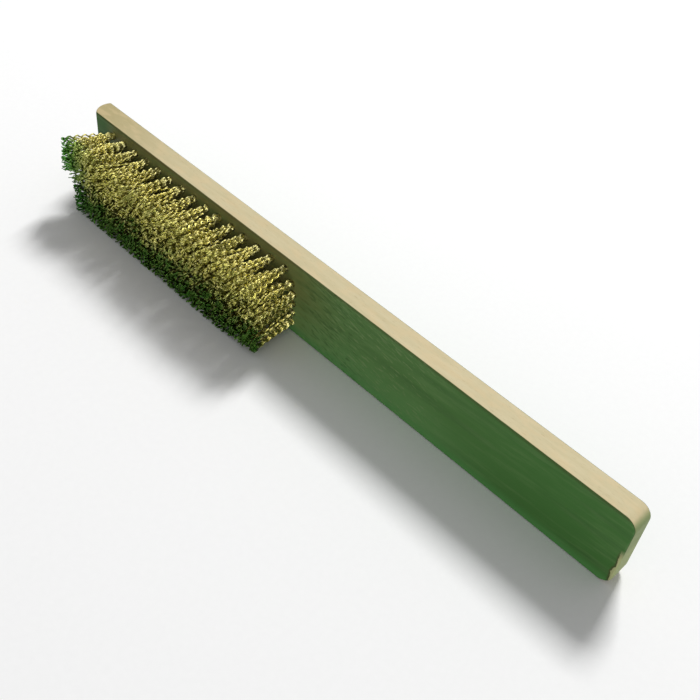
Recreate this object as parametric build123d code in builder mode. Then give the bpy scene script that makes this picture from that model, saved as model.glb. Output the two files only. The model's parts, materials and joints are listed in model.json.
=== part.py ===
"""Wire hand brush: a flat straight wooden handle with 15 columns of 6 brass wire tufts.

Frame, in millimetres: the brush lies on one narrow side. X runs from the head (-X) to the
handle end (+X), the wires point to -Y, the plain back faces +Y, and Z is up across the width.
The origin is the middle of the whole brush's footprint, on the surface that it lies on.
"""

from build123d import *
import os

# Handle board
handle_length = 284.5
handle_width = 35.0
handle_thickness = 9.5
nose_height = 6.0  # the rounded head end stands out most this far behind the bristle face
nose_front = 3.5  # how far the bristle face stops short of the head end
nose_back = 1.0  # how far the back face does
end_corner_radius = 5.0
arris_radius = 0.7

# Wire field: columns stand along the handle and rows across its width
columns = 15
rows = 6
column_pitch = 7.78
row_pitch = 4.85
last_column_inset = 129.5  # from the head end to the last column
row_shift = (0.0, 0.0, 0.0, 0.0, -1.2, -5.2)  # bottom row first: the top row is set back
trim = 22.0  # the wires' length proud of the handle

# Blind holes, the tufts' roots in them, and the flat wire anchors that hold the tufts
hole_radius = 1.7
hole_depth = 6.5
root_radius = 1.65
anchor_length = 4.4
anchor_thickness = 0.45
anchor_height = 1.8
anchor_top_depth = 4.1  # from the handle's face to the anchor

# Where each row's tips end, measured from the head end: the end tufts splay outwards
head_tips = (15.4, 15.0, 15.2, 8.5, 9.3, 10.2)  # bottom row first
handle_tips = (131.6, 133.6, 134.1, 133.6, 131.6, 128.6)
splayed_columns = 6
tip_gap = 0.16
tip_lift = (0.5, 1.4, 3.2)  # of the bottom row's tips in the last three columns

# Dent in the arris between the bristle face and the top side
dent_radius = 2.4
dent_depth = 0.5
dent_inset = 46.6

# Places worked out from the sizes above
face_y = (trim - handle_thickness) / 2
back_y = face_y + handle_thickness
head_x = -handle_length / 2
end_x = handle_length / 2
first_hole_x = head_x + last_column_inset - (columns - 1) * column_pitch
first_hole_z = (handle_width - (rows - 1) * row_pitch) / 2
tip_band = handle_width / rows

bristle_face = Plane(origin=(0, face_y, 0), x_dir=(1, 0, 0), z_dir=(0, -1, 0))
anchor_top = bristle_face.offset(-anchor_top_depth)
trim_plane = bristle_face.offset(trim)


def hole_centre(column, row):
    """Centre of a hole on the bristle face, along X and Z."""
    x = first_hole_x + column * column_pitch + row_shift[row]
    z = first_hole_z + row * row_pitch
    return x, z


def tip_edge(edge, row):
    """X of the boundary between two neighbouring tufts' tips, counted from the head end."""
    straight = hole_centre(edge, row)[0] - column_pitch / 2
    first = hole_centre(0, row)[0] - column_pitch / 2
    last = hole_centre(columns, row)[0] - column_pitch / 2
    near_head = max(0, 1 - edge / splayed_columns) ** 2
    near_handle = max(0, 1 - (columns - edge) / splayed_columns) ** 2
    head_splay = (head_x + head_tips[row] - first) * near_head
    handle_splay = (head_x + handle_tips[row] - last) * near_handle
    return straight + head_splay + handle_splay


def tip_bottom(column, row):
    """Z of the lower boundary of a tuft's tip."""
    from_lifted = column - (columns - len(tip_lift))
    lift = tip_lift[from_lifted] if row == 0 and from_lifted >= 0 else 0
    return row * tip_band + lift


def tip_centre(column, row):
    """Centre of a tuft's tip on the trim plane, along X and Z."""
    x = (tip_edge(column, row) + tip_edge(column + 1, row)) / 2
    z = (tip_bottom(column, row) + (row + 1) * tip_band) / 2
    return x, z


def tip_half_size(column, row):
    """Half the size of a tuft's tip along X and Z."""
    x = (tip_edge(column + 1, row) - tip_edge(column, row) - tip_gap) / 2
    z = ((row + 1) * tip_band - tip_bottom(column, row) - tip_gap) / 2
    return x, z


def row_of_column(column):
    """The six hole centres of one column."""
    return [hole_centre(column, row) for row in range(rows)]


def write(part):
    """Write one finished piece to its own STEP file."""
    export_step(part, f"parts/{part.label}.step")
    print(part.label, "solids", len(part.solids()), "volume", round(part.volume))


os.makedirs("parts", exist_ok=True)
every_hole = [centre for column in range(columns) for centre in row_of_column(column)]

# Handle: a board with a rounded head end, rounded corners and arrises, blind holes and seats
# for the anchors' ends
with BuildPart() as handle_block:
    with BuildSketch():
        with BuildLine():
            nose = ThreePointArc(
                (head_x + nose_front, face_y),
                (head_x, face_y + nose_height),
                (head_x + nose_back, back_y),
            )
            Polyline(nose @ 1, (end_x, back_y), (end_x, face_y), nose @ 0)
        make_face()
    extrude(amount=handle_width)
    corners = handle_block.edges().filter_by(Axis.Y).group_by(Axis.X)
    fillet(corners[-1], radius=end_corner_radius)
    broad_faces = handle_block.faces().sort_by(Axis.Y)
    nose_arcs = handle_block.faces().sort_by(Axis.X)[0].edges().filter_by(GeomType.CIRCLE)
    fillet(broad_faces[0].edges() + broad_faces[-1].edges() + nose_arcs, radius=arris_radius)
    with BuildSketch(bristle_face):
        with Locations(*every_hole):
            Circle(hole_radius)
    extrude(amount=-hole_depth, mode=Mode.SUBTRACT)
    with BuildSketch(anchor_top):
        with Locations(*every_hole):
            Rectangle(anchor_length, anchor_thickness)
    extrude(amount=-anchor_height, mode=Mode.SUBTRACT)
    dent_x = head_x + dent_inset
    dent_offset = (dent_radius - dent_depth) / 2**0.5
    with Locations((dent_x, face_y - dent_offset, handle_width + dent_offset)):
        Sphere(dent_radius, mode=Mode.SUBTRACT)
handle_block.part.label = "handle_block"
write(handle_block.part)

for column in range(columns):
    # Tufts: a round root in the hole, wrapped round the anchor, and a flared body that
    # opens to its share of the trimmed field
    with BuildPart() as tufts:
        for row in range(rows):
            with BuildSketch(bristle_face):
                with Locations(hole_centre(column, row)):
                    Circle(root_radius)
            with BuildSketch(trim_plane):
                with Locations(tip_centre(column, row)):
                    Ellipse(*tip_half_size(column, row))
            loft()
        with BuildSketch(bristle_face):
            with Locations(*row_of_column(column)):
                Circle(root_radius)
        extrude(amount=-hole_depth)
        with BuildSketch(anchor_top):
            with Locations(*row_of_column(column)):
                Rectangle(anchor_length, anchor_thickness)
        extrude(amount=-anchor_height, mode=Mode.SUBTRACT)
    tufts.part.label = f"tufts_column_{column + 1:02d}"
    write(tufts.part)

    # Anchors: a short flat wire across the bottom of each hole, its ends driven into the wood
    with BuildPart() as anchors:
        with BuildSketch(anchor_top):
            with Locations(*row_of_column(column)):
                Rectangle(anchor_length, anchor_thickness)
        extrude(amount=-anchor_height)
    anchors.part.label = f"anchors_column_{column + 1:02d}"
    write(anchors.part)
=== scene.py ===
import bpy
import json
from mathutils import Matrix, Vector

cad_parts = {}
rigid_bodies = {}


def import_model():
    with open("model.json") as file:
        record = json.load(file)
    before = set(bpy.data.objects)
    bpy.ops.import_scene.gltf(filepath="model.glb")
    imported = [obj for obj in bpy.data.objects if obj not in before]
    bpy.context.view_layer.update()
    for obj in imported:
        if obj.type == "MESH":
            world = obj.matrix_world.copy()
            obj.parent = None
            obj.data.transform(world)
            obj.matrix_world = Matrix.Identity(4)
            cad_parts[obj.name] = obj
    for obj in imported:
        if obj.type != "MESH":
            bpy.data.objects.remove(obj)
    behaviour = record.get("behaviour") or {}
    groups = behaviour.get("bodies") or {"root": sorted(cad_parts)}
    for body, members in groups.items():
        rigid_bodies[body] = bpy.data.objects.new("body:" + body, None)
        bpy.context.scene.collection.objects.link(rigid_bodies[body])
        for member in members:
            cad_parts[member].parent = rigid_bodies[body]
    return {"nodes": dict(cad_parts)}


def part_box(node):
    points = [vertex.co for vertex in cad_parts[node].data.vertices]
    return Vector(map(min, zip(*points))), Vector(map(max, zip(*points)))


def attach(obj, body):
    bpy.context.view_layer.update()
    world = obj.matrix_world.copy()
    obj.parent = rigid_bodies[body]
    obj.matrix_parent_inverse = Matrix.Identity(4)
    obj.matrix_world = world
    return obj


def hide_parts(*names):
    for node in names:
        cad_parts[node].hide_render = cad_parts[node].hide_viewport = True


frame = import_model()

"""Looks of the wire hand brush: crimped brass wires, green-stained wood, floor, light, camera.

Every length is in metres, in the CAD model's frame: X runs from the head to the handle end,
the wires point to -Y, and the brush lies on one narrow side with Z up, on a floor at Z 0.
"""

import json
import math

import bpy
import numpy as np
from mathutils import Matrix, Vector

MM = 0.001
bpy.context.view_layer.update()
handle_low, handle_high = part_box("handle_block")
columns = sorted(name for name in frame["nodes"] if name.startswith("tufts_column"))
face_y = handle_low.y  # the bristle face
tip_y = min(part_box(name)[0].y for name in columns)  # where the wires are trimmed
field_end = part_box(columns[-1])[1].x  # X of the last wires before the bare handle
rng = np.random.default_rng(20240611)


# ---------------------------------------------------------------- wires: sizes

wire_radius = 0.17 * MM
sides = 4  # of a wire's cross-section, so that its end caps are quads like its sides
rings_per_crimp = 7

# Strands are groups of a tuft's wires whose crimps lie in each other
strands = 9
strands_in_bottom_row = 18
strands_at_head = (16, 16, 16, 22, 22, 22)  # bottom row first: there the tips spread most
columns_at_head = 2
wires_per_strand = 4  # counted at the tips: each wire is folded round the anchor
strand_radius = 0.216 * MM  # from a strand's middle to its wires

# The holes, and the wires in them
root_packing = 0.84  # share of the root's radius that the strands' centres use
fold_width = 0.8  # share of the root's radius that the folds use
fold_points = 5
throat_depth = 1.6 * MM  # from here on inwards, wires bend towards the anchor
anchor_top_depth = 4.1 * MM
anchor_bottom_depth = 5.9 * MM
anchor_half_thickness = 0.225 * MM

# Where the tips stand in their tuft's share of the field, and how the wires get there
tip_overlap = 0.09  # how far tips reach over that share, as a part of it
tip_scatter = 0.032  # as a part of that share
tip_crowding = 0.8  # under 1, tips crowd towards the sides of that share
lean_to_head = 0.45  # how far the first column's tips crowd towards the head end
flare = 1.3  # over 1, strands turn outwards late
parting = 7  # the higher, the nearer to the tips a strand's wires part
bow = 0.35 * MM
bent_share = 0.08  # of the wires are bent aside in their last third
bent_reach = 0.9 * MM
trim_unevenness = 0.25 * MM
edge_room = 0.22 * MM  # how far wires stay inside the brush's box

# Crimp: pitch and height, their range from strand to strand as shares, and scatter in radians
crimp_pitch = 3.4 * MM
crimp_height = 0.55 * MM
pitch_range = (0.97, 1.03)
height_range = (0.85, 1.2)
pitch_scatter = 0.0015  # from wire to wire, as a share
plane_scatter = (0.35, 0.5, 0.05)  # from tuft to tuft, strand to strand and wire to wire
phase_scatter = (0.9, 0.1)  # from strand to strand and wire to wire
crimp_start = 0.04  # share of the length in which the crimp sets in
crest_gain = 1.6

plastic_number = 1.324717957244746  # its powers spread points evenly over a square
grain_tilt = 4.0  # degrees, the wood's grain against the board's length


# ---------------------------------------------------------------- wires: paths

def points_of(node):
    """All vertices of a CAD node."""
    mesh = frame["nodes"][node].data
    points = np.zeros(len(mesh.vertices) * 3)
    mesh.vertices.foreach_get("co", points)
    return points.reshape(-1, 3)


def split_rows(points, gap):
    """Groups points along Z wherever neighbours are further apart than gap."""
    points = points[np.argsort(points[:, 2])]
    return np.split(points, np.where(np.diff(points[:, 2]) > gap)[0] + 1)


def tufts_of(node):
    """Each tuft of a column: its root's centre and radius, and its tip's box, in X and Z."""
    points = points_of(node)
    deepest = points[points[:, 1] > points[:, 1].max() - 0.01 * MM]
    tips = points[points[:, 1] < points[:, 1].min() + 0.01 * MM]
    roots = split_rows(deepest, 0.8 * MM)
    band = (handle_high.z - handle_low.z) / len(roots)
    found = []
    for row, root in enumerate(roots):
        low, high = root.min(0), root.max(0)
        in_row = (tips[:, 2] > row * band) & (tips[:, 2] < (row + 1) * band)
        tip = tips[in_row]
        found.append(((low + high)[[0, 2]] / 2, (high - low)[2] / 2,
                      tip.min(0)[[0, 2]], tip.max(0)[[0, 2]]))
    return found


def ranks_by_strip(points, strips):
    """Order that runs through points strip by strip along X, and along Z in each strip."""
    by_x = np.argsort(points[:, 0])
    parts = np.array_split(by_x, strips)
    return np.concatenate([part[np.argsort(points[part, 1])] for part in parts])


def sunflower(count):
    """Evenly spread points in the unit disc."""
    n = np.arange(count)
    radius = np.sqrt((n + 0.5) / count)
    angle = n * math.pi * (3 - math.sqrt(5))
    return np.stack([radius * np.cos(angle), radius * np.sin(angle)], 1)


def spread(count):
    """Evenly spread points in the square from -1 to 1."""
    n = np.arange(count) + 0.5
    return np.stack([n / plastic_number % 1, n / plastic_number**2 % 1], 1) * 2 - 1


def crimps(t, length, strand, groups):
    """Sideways waves of a tuft's wires, almost the same within a strand."""
    ends = len(strand)
    plane = rng.normal(math.pi / 2, plane_scatter[0]) + rng.normal(0, plane_scatter[1], groups)
    plane = plane[strand] + rng.normal(0, plane_scatter[2], ends)
    phase = rng.uniform(0, 2 * math.pi) + rng.normal(0, phase_scatter[0], groups)
    phase = phase[strand] + rng.normal(0, phase_scatter[1], ends)
    pitch = crimp_pitch * rng.uniform(*pitch_range, groups)[strand]
    pitch = pitch * rng.normal(1, pitch_scatter, ends)
    height = crimp_height * rng.uniform(*height_range, groups)[strand]
    wave = np.sin(2 * math.pi * t * length / pitch[:, None, None] + phase[:, None, None])
    wave = wave * np.clip(t / crimp_start, 0, 1)
    across = np.stack([np.cos(plane), np.sin(plane)], 1)[:, None]
    return across * wave * height[:, None, None]


def folded(legs, roots, root_centre, root_radius):
    """Wires made of an upper and a lower leg each, folded under the anchor in two layers."""
    wires = len(roots) // 2
    by_height = np.argsort(roots[:, 1])
    lower = by_height[:wires]
    upper = by_height[wires:]
    lower = lower[np.argsort(roots[lower, 0])]
    upper = upper[np.argsort(roots[upper, 0])]
    x = np.linspace(-1, 1, wires) * root_radius * fold_width + root_centre[0]
    layer = np.arange(wires) % 2
    under = wire_radius * (1 + 2 * layer)
    reach = anchor_half_thickness + under
    sweep = np.linspace(0, math.pi, fold_points)[None]
    fold = np.stack([
        np.broadcast_to(x[:, None], (wires, fold_points)),
        face_y + anchor_bottom_depth + under[:, None] * np.sin(sweep),
        root_centre[1] + reach[:, None] * np.cos(sweep)], 2)
    neck_y = np.full_like(x, face_y + anchor_top_depth)
    neck_up = np.stack([x, neck_y, root_centre[1] + reach], 1)[:, None]
    neck_down = np.stack([x, neck_y, root_centre[1] - reach], 1)[:, None]
    throat = np.array([0, throat_depth, 0])
    return np.concatenate([
        legs[upper][:, ::-1], legs[upper][:, :1] + throat, neck_up, fold,
        neck_down, legs[lower][:, :1] + throat, legs[lower]], 1)


def tuft_paths(root_centre, root_radius, tip_low, tip_high, groups, lean):
    """Centre lines of one tuft's wires, each from a tip down round the anchor to a tip."""
    ends = groups * wires_per_strand
    strand = np.repeat(np.arange(groups), wires_per_strand)
    centres = root_centre + sunflower(groups) * root_radius * root_packing
    cell = (spread(groups) + rng.uniform(-1, 1, 2) + 1) % 2 - 1
    cell = np.sign(cell) * np.abs(cell) ** tip_crowding
    cell[:, 0] -= lean * (1 - cell[:, 0] ** 2)
    tip_size = tip_high - tip_low
    spots = (tip_low + tip_high) / 2 + cell * tip_size * (0.5 + tip_overlap)
    targets = np.empty_like(spots)
    targets[ranks_by_strip(centres, 3)] = spots[ranks_by_strip(spots, 3)]
    turn = rng.uniform(0, math.pi, groups)[strand]
    turn = turn + np.tile(np.arange(wires_per_strand) * 2 * math.pi / wires_per_strand, groups)
    beside = np.stack([np.cos(turn), np.sin(turn)], 1) * strand_radius
    scatter = rng.normal(0, tip_scatter, (ends, 2)) * tip_size

    rings = round((face_y - tip_y) / crimp_pitch * rings_per_crimp) + 1
    t = np.linspace(0, 1, rings)[None, :, None]
    length = face_y - tip_y - wire_radius - rng.uniform(0, trim_unevenness, (ends, 1, 1))
    line = centres[strand][:, None] + (targets - centres)[strand][:, None] * t**flare
    line = line + rng.normal(0, bow, (groups, 1, 2))[strand] * np.sin(math.pi * t)
    line = line + beside[:, None] + scatter[:, None] * t**parting
    bent = rng.random((ends, 1, 1)) < bent_share
    last_third = np.clip(t * 3 - 2, 0, 1)
    line = line + rng.normal(0, bent_reach, (ends, 1, 2)) * bent * last_third**2
    line = line + crimps(t, length, strand, groups)
    line[..., 0] = np.clip(line[..., 0], handle_low.x + edge_room, handle_high.x - edge_room)
    line[..., 1] = np.clip(line[..., 1], handle_low.z + edge_room, handle_high.z - edge_room)
    legs = np.concatenate([line[..., :1], face_y - t * length, line[..., 1:]], 2)
    return folded(legs, centres[strand] + beside, root_centre, root_radius)


def tubes(name, paths, material):
    """One closed mesh of tubes along paths of equal point count."""
    wires, rings = paths.shape[:2]
    along = np.gradient(paths, axis=1)
    along /= np.linalg.norm(along, axis=2, keepdims=True)
    out = np.cross(along, [1.0, 0.0, 0.0])
    out /= np.linalg.norm(out, axis=2, keepdims=True)
    over = np.cross(along, out)
    angle = (2 * math.pi * (np.arange(sides) + 0.5) / sides)[:, None]
    ring = out[:, :, None] * np.cos(angle) + over[:, :, None] * np.sin(angle)
    points = paths[:, :, None] + ring * wire_radius

    first = (np.arange(wires)[:, None, None] * rings + np.arange(rings - 1)[None, :, None]) * sides
    side = np.arange(sides)[None, None]
    after = (side + 1) % sides
    quads = np.stack([first + side, first + sides + side, first + sides + after, first + after], -1)
    start = np.arange(wires)[:, None] * rings * sides
    caps = np.concatenate([start + np.arange(sides), start + rings * sides - 1 - np.arange(sides)])
    faces = np.concatenate([quads.reshape(-1, 4), caps])

    mesh = bpy.data.meshes.new(name)
    mesh.vertices.add(points.size // 3)
    mesh.vertices.foreach_set("co", points.ravel())
    mesh.loops.add(faces.size)
    mesh.loops.foreach_set("vertex_index", faces.ravel())
    mesh.polygons.add(len(faces))
    mesh.polygons.foreach_set("loop_start", np.arange(len(faces)) * 4)
    mesh.update(calc_edges=True)
    mesh.shade_smooth()

    # Each wire's own tone, and whether a ring is on the upper (1) or lower (0) side of a bend
    tone = np.repeat(rng.random(wires), rings * sides)
    curl = np.gradient(along, axis=1)[..., 2]
    crest = np.repeat(np.clip(0.5 - curl * crest_gain, 0, 1).ravel(), sides)
    mesh.attributes.new("wire_tone", "FLOAT", "POINT").data.foreach_set("value", tone)
    mesh.attributes.new("wire_crest", "FLOAT", "POINT").data.foreach_set("value", crest)
    mesh.materials.append(material)
    piece = bpy.data.objects.new(name, mesh)
    bpy.context.scene.collection.objects.link(piece)
    return piece


# ---------------------------------------------------------------- materials

class Nodes:
    """Short forms for building one material's node tree."""

    def __init__(self, name):
        self.material = bpy.data.materials.new(name)
        self.material.use_nodes = True
        self.tree = self.material.node_tree
        self.shader = self.tree.nodes["Principled BSDF"]
        self.place = self.add("ShaderNodeTexCoord").outputs["Object"]
        self.x, self.y, self.z = self.add("ShaderNodeSeparateXYZ", {0: self.place}).outputs

    def add(self, kind, inputs=(), **settings):
        node = self.tree.nodes.new(kind)
        for key, value in settings.items():
            setattr(node, key, value)
        for key, value in dict(inputs).items():
            self.feed(node.inputs[key], value)
        return node

    def feed(self, socket, value):
        if isinstance(value, bpy.types.NodeSocket):
            self.tree.links.new(value, socket)
        else:
            socket.default_value = value

    def math(self, operation, a, b=0.0):
        return self.add("ShaderNodeMath", {0: a, 1: b}, operation=operation).outputs[0]

    def plus(self, a, b):
        return self.math("ADD", a, b)

    def minus(self, a, b):
        return self.math("SUBTRACT", a, b)

    def times(self, a, b):
        return self.math("MULTIPLY", a, b)

    def distance(self, a, b):
        return self.math("ABSOLUTE", self.minus(a, b))

    def ramp(self, value, low, high):
        """0 on low's side of the range and 1 on high's side, smooth between."""
        return self.add("ShaderNodeMapRange", {"Value": value, "From Min": low, "From Max": high},
                        interpolation_type="SMOOTHSTEP").outputs[0]

    def noise(self, cell, detail=3.0, tilt=0.0):
        """Noise from 0 to 1 with cells of this size in mm, tilted from X towards Z in degrees."""
        stretched = self.add("ShaderNodeMapping", {
            "Vector": self.place, "Scale": [size * MM for size in cell],
            "Rotation": (0, math.radians(-tilt), 0)}, vector_type="TEXTURE")
        return self.add("ShaderNodeTexNoise", {
            "Vector": stretched.outputs[0], "Scale": 1.0, "Detail": detail,
            "Roughness": 0.55}).outputs["Fac"]

    def waver(self, cell, detail, size):
        """Noise around 0 whose full range is size."""
        return self.times(self.minus(self.noise(cell, detail), 0.5), size)

    def attribute(self, name):
        return self.add("ShaderNodeAttribute", attribute_name=name).outputs["Fac"]

    def mix(self, share, a, b):
        node = self.add("ShaderNodeMix", data_type="RGBA")
        self.feed(node.inputs["Factor"], share)
        self.feed(node.inputs["A"], a)
        self.feed(node.inputs["B"], b)
        return node.outputs["Result"]

    def tint(self, base, mask, amount, other):
        """The base colour, moved towards another by a mask times an amount."""
        return self.mix(self.times(mask, amount), base, other)

    def surface(self, base, roughness, metallic=0.0):
        self.feed(self.shader.inputs["Base Color"], base)
        self.feed(self.shader.inputs["Roughness"], roughness)
        self.shader.inputs["Metallic"].default_value = metallic


def colour(red, green, blue):
    """A colour given as 0 to 255 on screen, in linear light."""
    values = [c / 255 for c in (red, green, blue)]
    return [c / 12.92 if c <= 0.04045 else ((c + 0.055) / 1.055) ** 2.4 for c in values] + [1.0]


def brass_wire():
    """Drawn brass: gold-olive wires, with painted light near the roots, painted highlights on the
    crimp crests and painted shade in their hollows, a painted green reflection at many of the tips
    and painted dark-green shade low down.
    """
    n = Nodes("brass_wire")
    crest = n.attribute("wire_crest")
    tarnish = n.ramp(n.noise((6, 9, 6), 2.0), 0.47, 0.66)
    root_painted_light = n.ramp(n.y, face_y - 7 * MM, face_y - 1 * MM)
    base = n.mix(n.attribute("wire_tone"), colour(232, 222, 132), colour(204, 194, 102))
    base = n.tint(base, tarnish, 0.62, colour(110, 112, 50))
    # Painted shade in the hollows of the crimp bends, and painted highlights on their crests
    base = n.tint(base, n.ramp(crest, 0.6, 0.1), 0.42, colour(112, 110, 48))
    base = n.tint(base, n.ramp(crest, 0.6, 1.0), 0.4, colour(252, 244, 176))
    # Painted light on the wires near the roots, where they sit in shade
    base = n.tint(base, root_painted_light, 0.5, colour(255, 250, 190))

    # Painted green reflection at the tips, most at the head end and brightest on the outermost
    # tips, and painted dark-green shade low down in soft patches
    to_tip = n.ramp(n.y, face_y - 14 * MM, tip_y + 1 * MM)
    to_head = n.ramp(n.x, handle_low.x + 40 * MM, handle_low.x)
    outermost = n.ramp(n.x, handle_low.x + 28 * MM, handle_low.x + 8 * MM)
    height = n.plus(n.z, n.waver((6, 6, 6), 1.0, 26 * MM))
    low_tip_painted_shade = n.ramp(height, 23 * MM, 11 * MM)
    green = n.times(to_tip, n.plus(n.times(to_head, 0.45), 0.2))
    base = n.mix(green, base, colour(96, 130, 52))
    base = n.mix(n.times(outermost, to_tip), base, colour(78, 138, 56))
    # Painted dark-green shade on the low tips, in soft patches
    base = n.tint(base, n.times(to_tip, low_tip_painted_shade), 0.92, colour(30, 84, 22))
    n.surface(base, 0.34, metallic=1.0)
    return n.material


def bare_wood(n, streak):
    """Pale wood, flecked and clouded, browner at the head end, and on the end grain a thin green
    wash with painted shade and painted green reflection.
    """
    from_head = n.ramp(n.x, handle_low.x + 70 * MM, handle_low.x - 10 * MM)
    fleck = n.ramp(n.noise((3, 0.33, 0.33), 1.0, tilt=grain_tilt), 0.62, 0.76)
    cloud = n.ramp(n.noise((7, 3, 3), 2.0), 0.42, 0.68)
    normal = n.add("ShaderNodeNewGeometry").outputs["Normal"]
    facing = n.add("ShaderNodeSeparateXYZ", {0: normal}).outputs["X"]
    end_grain_wash_and_shade = n.ramp(n.math("ABSOLUTE", facing), 0.45, 0.95)
    bare = n.mix(streak, colour(182, 170, 130), colour(204, 192, 156))
    bare = n.tint(bare, from_head, 0.8, colour(162, 148, 100))
    bare = n.tint(bare, fleck, 0.32, colour(150, 128, 92))
    bare = n.tint(bare, cloud, 0.4, colour(206, 184, 142))
    # The end grain: a thin green wash, darkened and greened further by painted shade and painted
    # reflection
    return n.tint(bare, end_grain_wash_and_shade, 0.85, colour(114, 136, 82))


def green_stain(n, streak, fibre, front):
    """Thin stain streaked along the grain, made olive beside the wires by painted reflection from
    the brass, and lighter low down by painted green light from below.
    """
    brass_reflection_painted = n.times(n.ramp(n.x, field_end + 28 * MM, field_end - 20 * MM), front)
    at_nose = n.times(n.ramp(n.x, handle_low.x + 20 * MM, handle_low.x + 8 * MM), front)
    band = n.ramp(n.noise((70, 9, 5), 2.0, tilt=grain_tilt), 0.45, 0.75)
    off_end = n.ramp(n.x, handle_high.x - 37 * MM, handle_high.x - 97 * MM)
    low_half_painted_light = n.times(n.ramp(n.z, 22 * MM, 3 * MM), off_end)
    to_end = n.ramp(n.x, field_end + 3 * MM, handle_high.x - 22 * MM)
    # Lighter and olive towards the wires: painted reflection of light from the brass
    stain = n.mix(to_end, colour(76, 110, 55), colour(56, 101, 41))
    stain = n.mix(brass_reflection_painted, stain, colour(104, 102, 58))
    stain = n.mix(at_nose, stain, colour(50, 90, 28))
    stain = n.tint(stain, n.ramp(streak, 0.42, 0.78), 0.42, colour(92, 124, 72))
    stain = n.tint(stain, band, 0.4, colour(44, 80, 34))
    stain = n.tint(stain, n.ramp(fibre, 0.55, 0.8), 0.18, colour(40, 66, 30))
    # Painted green light from below: lighter on the lower half, and most at the bottom edge
    stain = n.tint(stain, low_half_painted_light, 0.42, colour(96, 146, 84))
    return n.tint(stain, n.ramp(n.z, 6 * MM, 0.0), 0.8, colour(72, 130, 66))


def scuffed(n, stain, front):
    """The stain with light and dark strokes where the work rubs it, just behind the wires."""
    stroke = n.noise((4.2, 1.0, 0.8), 2.0, tilt=grain_tilt - 14)
    dark_zone = n.ramp(n.distance(n.x, field_end + 16 * MM), 24 * MM, 8 * MM)
    light_zone = n.ramp(n.distance(n.x, field_end + 36 * MM), 44 * MM, 16 * MM)
    dark = n.times(n.ramp(stroke, 0.46, 0.36), n.times(dark_zone, front))
    light = n.times(n.ramp(stroke, 0.56, 0.68), n.times(light_zone, front))
    stain = n.tint(stain, light, 0.5, colour(112, 134, 86))
    return n.tint(stain, dark, 0.55, colour(50, 76, 30))


def handle_wood():
    """Pale bare wood, with a thin green stain on the two broad faces."""
    n = Nodes("handle_wood")
    streak = n.noise((20, 1.8, 1.8), 4.0, tilt=grain_tilt)
    fibre = n.noise((6, 0.24, 0.24), 2.0, tilt=grain_tilt)
    front = n.ramp(n.y, face_y + 4 * MM, face_y + 2 * MM)
    bare = bare_wood(n, streak)
    stain = scuffed(n, green_stain(n, streak, fibre, front), front)

    # Darker brown along the arrises, just below the top and round the end, and the stain is chipped
    # off low at the end
    middle = (handle_low.y + handle_high.y) / 2
    half = (handle_high.y - handle_low.y) / 2
    reach = n.plus(n.distance(n.y, middle), n.waver((5, 1, 1), 3.0, 0.12 * MM))
    stained = n.ramp(reach, half - 0.5 * MM, half - 0.38 * MM)
    border = n.ramp(reach, half - 0.16 * MM, half - 0.4 * MM)
    low_end = n.ramp(n.z, 21 * MM, 15 * MM)
    ragged = n.plus(n.x, n.times(n.noise((4.2, 4.2, 4.2), 2.5), 3.0 * MM))
    past_end = n.ramp(ragged, handle_high.x + 0.5 * MM, handle_high.x + 0.8 * MM)
    near_end = n.ramp(ragged, handle_high.x - 0.4 * MM, handle_high.x + 0.4 * MM)
    chipped = n.times(low_end, past_end)
    rim = n.times(low_end, near_end)
    top_line = n.times(n.ramp(n.z, handle_high.z - 1.2 * MM, handle_high.z - 0.6 * MM), 0.5)
    brown = n.math("MAXIMUM", border, n.math("MAXIMUM", rim, top_line))
    stain = n.tint(stain, brown, 0.7, colour(64, 58, 26))
    bare = n.tint(bare, chipped, 0.8, colour(150, 160, 108))
    stained = n.times(stained, n.minus(1.0, chipped))

    rough = n.add("ShaderNodeMapRange", {"Value": fibre, "To Min": 0.55, "To Max": 0.72})
    n.surface(n.mix(stained, bare, stain), rough.outputs[0])
    n.shader.inputs["Specular IOR Level"].default_value = 0.25
    grain = n.plus(n.times(streak, 0.5), fibre)
    bump = n.add("ShaderNodeBump", {"Strength": 0.25, "Distance": 0.05 * MM, "Height": grain})
    n.feed(n.shader.inputs["Normal"], bump.outputs[0])
    return n.material


def anchor_steel():
    """Plain drawn steel for the anchors inside the wood."""
    n = Nodes("anchor_steel")
    drawn = n.noise((3, 0.2, 0.2), 2.0)
    n.surface(n.mix(drawn, colour(150, 150, 148), colour(190, 190, 188)), 0.4, metallic=1.0)
    return n.material


def floor_paper():
    """Matt near-white paper."""
    n = Nodes("floor_paper")
    tooth = n.noise((2.5, 2.5, 2.5), 2.0)
    n.surface(n.mix(tooth, colour(250, 250, 250), colour(254, 254, 254)), 0.9)
    return n.material


# ---------------------------------------------------------------- the brush

brass = brass_wire()
for number, name in enumerate(columns):
    tufts = tufts_of(name)
    counts = [strands_in_bottom_row] + [strands] * (len(tufts) - 1)
    if number < columns_at_head:
        counts = strands_at_head
    lean = lean_to_head if number == 0 else 0.0
    paths = [tuft_paths(*tuft, count, lean) for tuft, count in zip(tufts, counts)]
    wires = tubes("wires_" + name[-2:], np.concatenate(paths), brass)
    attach(wires, "root")
    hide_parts(name)

wood = handle_wood()
steel = anchor_steel()
for name, node in frame["nodes"].items():
    if name == "handle_block" or name.startswith("anchors"):
        for slot in node.material_slots:
            slot.material = wood if name == "handle_block" else steel


# ---------------------------------------------------------------- floor, light, camera

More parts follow.
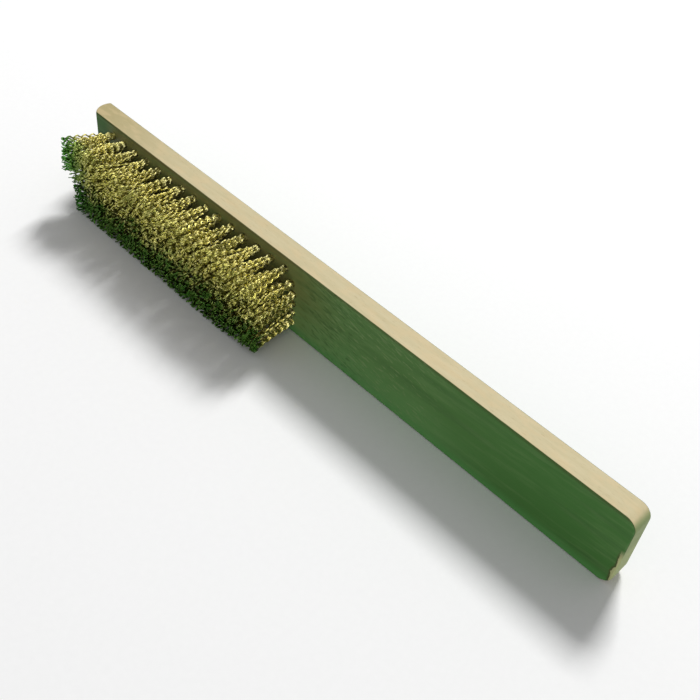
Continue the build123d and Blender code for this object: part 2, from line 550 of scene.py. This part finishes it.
bpy.ops.mesh.primitive_circle_add(vertices=96, radius=3.0, fill_type="NGON")
floor = bpy.context.object
floor.name = "floor"
floor.data.materials.append(floor_paper())

on_brush = bpy.data.collections.new("lit_brush")
on_wires = bpy.data.collections.new("lit_wires")
for piece in bpy.data.objects:
    if piece.type == "MESH" and piece is not floor:
        on_brush.objects.link(piece)
    if piece.name.startswith("wires"):
        on_wires.objects.link(piece)


def area_light(name, place, size, watts, receivers=None):
    """A square soft light facing the brush; with receivers, it lights only them."""
    data = bpy.data.lights.new(name, "AREA")
    data.size = size
    data.energy = watts
    lamp = bpy.data.objects.new(name, data)
    lamp.location = place
    middle_of_brush = Vector((0.0, 0.0, 0.02))
    lamp.rotation_euler = (middle_of_brush - Vector(place)).to_track_quat("-Z", "Y").to_euler()
    bpy.context.scene.collection.objects.link(lamp)
    lamp.light_linking.receiver_collection = receivers


area_light("key", (-0.52, 1.66, 2.0), 0.64, 61.0)
area_light("top", (0.3, -0.38, 1.0), 0.22, 4.9, on_wires)
area_light("fill", (0.8, -0.8, 0.6), 0.8, 5.7, on_brush)

world = bpy.data.worlds.new("studio")
world.use_nodes = True
world.node_tree.nodes["Background"].inputs["Color"].default_value = (1, 1, 1, 1)
world.node_tree.nodes["Background"].inputs["Strength"].default_value = 0.34
bpy.context.scene.world = world
bpy.context.scene.view_settings.view_transform = "Standard"

camera_place = Vector((0.18855, -0.1979, 0.2884))
camera_aim = Vector((0.02015, 0.0050, 0.0175))
camera_roll = Matrix.Rotation(math.radians(7.52), 4, "Z")
camera = bpy.data.objects.new("camera", bpy.data.cameras.new("camera"))
bpy.context.scene.collection.objects.link(camera)
facing = (camera_aim - camera_place).to_track_quat("-Z", "Y").to_matrix().to_4x4()
camera.matrix_world = Matrix.Translation(camera_place) @ facing @ camera_roll
camera.data.lens = 52.35
camera.data.sensor_width = 36.0
camera.data.clip_start = 0.01
camera.data.shift_x = -0.0007
camera.data.shift_y = -0.004
bpy.context.scene.camera = camera
